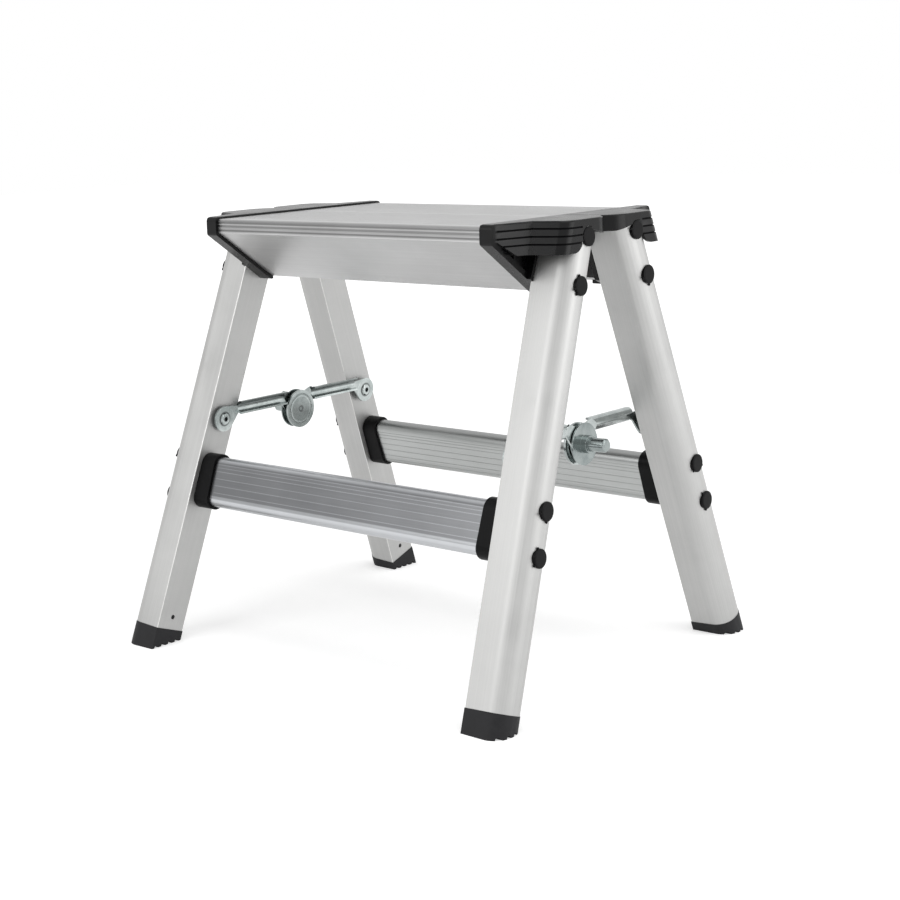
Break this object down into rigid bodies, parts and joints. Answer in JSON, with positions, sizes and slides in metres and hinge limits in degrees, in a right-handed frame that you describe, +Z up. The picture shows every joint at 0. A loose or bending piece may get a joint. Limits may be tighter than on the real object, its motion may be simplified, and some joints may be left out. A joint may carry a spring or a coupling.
{
  "type": "folding step stool",
  "caption": "Double-sided folding step stool with splayed aluminium tube legs, lined tread halves, moulded corner brackets, foot rungs and locking spreaders.",
  "frame": {"origin": "on the floor, midway between the four feet", "axes": "+X to the right along the treads, +Y to the rear, +Z up"},
  "size_m": [0.483, 0.4162, 0.4302],
  "materials": {
    "leg_aluminium": "satin natural aluminium tube",
    "tread_aluminium": "satin extruded aluminium with lengthwise lines",
    "black_plastic": "charcoal moulded plastic with a slight sheen",
    "foot_rubber": "black moulded rubber",
    "zinc_steel": "bright zinc plate"
  },
  "bodies": {
    "front_frame": {"tread_front": "tread_aluminium", "rung_front": "tread_aluminium", "leg_front_left": "leg_aluminium", "foot_front_left": "foot_rubber", "caps_front_left": "black_plastic", "leg_screws_front_left": "zinc_steel", "rung_end_front_left": "black_plastic", "tread_screws_front_left": "zinc_steel", "bracket_front_left": "black_plastic", "leg_front_right": "leg_aluminium", "foot_front_right": "foot_rubber", "caps_front_right": "black_plastic", "leg_screws_front_right": "zinc_steel", "rung_end_front_right": "black_plastic", "tread_screws_front_right": "zinc_steel", "bracket_front_right": "black_plastic", "rivet_front_left": "zinc_steel", "hinge_pin_left": "zinc_steel", "rivet_front_right": "zinc_steel", "hinge_pin_right": "zinc_steel"},
    "rear_frame": {"tread_rear": "tread_aluminium", "rung_rear": "tread_aluminium", "leg_rear_left": "leg_aluminium", "foot_rear_left": "foot_rubber", "caps_rear_left": "black_plastic", "leg_screws_rear_left": "zinc_steel", "rung_end_rear_left": "black_plastic", "tread_screws_rear_left": "zinc_steel", "bracket_rear_left": "black_plastic", "leg_rear_right": "leg_aluminium", "foot_rear_right": "foot_rubber", "caps_rear_right": "black_plastic", "leg_screws_rear_right": "zinc_steel", "rung_end_rear_right": "black_plastic", "tread_screws_rear_right": "zinc_steel", "bracket_rear_right": "black_plastic", "rivet_tail_left": "zinc_steel", "rivet_tail_right": "zinc_steel"},
    "front_link_left": {"link_front_left": "zinc_steel", "pivot_disc_left": "zinc_steel", "pivot_stub_left": "zinc_steel"},
    "rear_link_left": {"link_rear_left": "zinc_steel", "rivet_rear_left": "zinc_steel"},
    "front_link_right": {"link_front_right": "zinc_steel", "pivot_disc_right": "zinc_steel", "pivot_stub_right": "zinc_steel"},
    "rear_link_right": {"link_rear_right": "zinc_steel", "rivet_rear_right": "zinc_steel"}
  },
  "joints": [
    {"name": "fold", "type": "hinge", "parent": "front_frame", "child": "rear_frame", "pos_m": [0, 0, 0.405], "axis": [-1, 0, 0], "range_deg": [0, 40]},
    {"name": "front_spreader_right", "type": "hinge", "parent": "front_frame", "child": "front_link_right", "pos_m": [0.18798, -0.10673, 0.2235], "axis": [0.9985, 0, 0.0541], "range_deg": [0, 51.65]},
    {"name": "rear_spreader_right", "type": "hinge", "parent": "front_link_right", "child": "rear_link_right", "pos_m": [0.18824, 0, 0.21871], "axis": [-0.9994, 0, -0.0346], "range_deg": [0, 143.24]},
    {"name": "front_spreader_left", "type": "hinge", "parent": "front_frame", "child": "front_link_left", "pos_m": [-0.18798, -0.10673, 0.2235], "axis": [0.9985, 0, -0.0541], "range_deg": [0, 51.65]},
    {"name": "rear_spreader_left", "type": "hinge", "parent": "front_link_left", "child": "rear_link_left", "pos_m": [-0.18824, 0, 0.21871], "axis": [-0.9994, 0, 0.0346], "range_deg": [0, 143.24]}
  ],
  "couplings": [
    {"joint": "front_spreader_right", "follows": "fold", "ratio": 1.291},
    {"joint": "rear_spreader_right", "follows": "fold", "ratio": 3.5807},
    {"joint": "front_spreader_left", "follows": "fold", "ratio": 1.291},
    {"joint": "rear_spreader_left", "follows": "fold", "ratio": 3.5807}
  ]
}
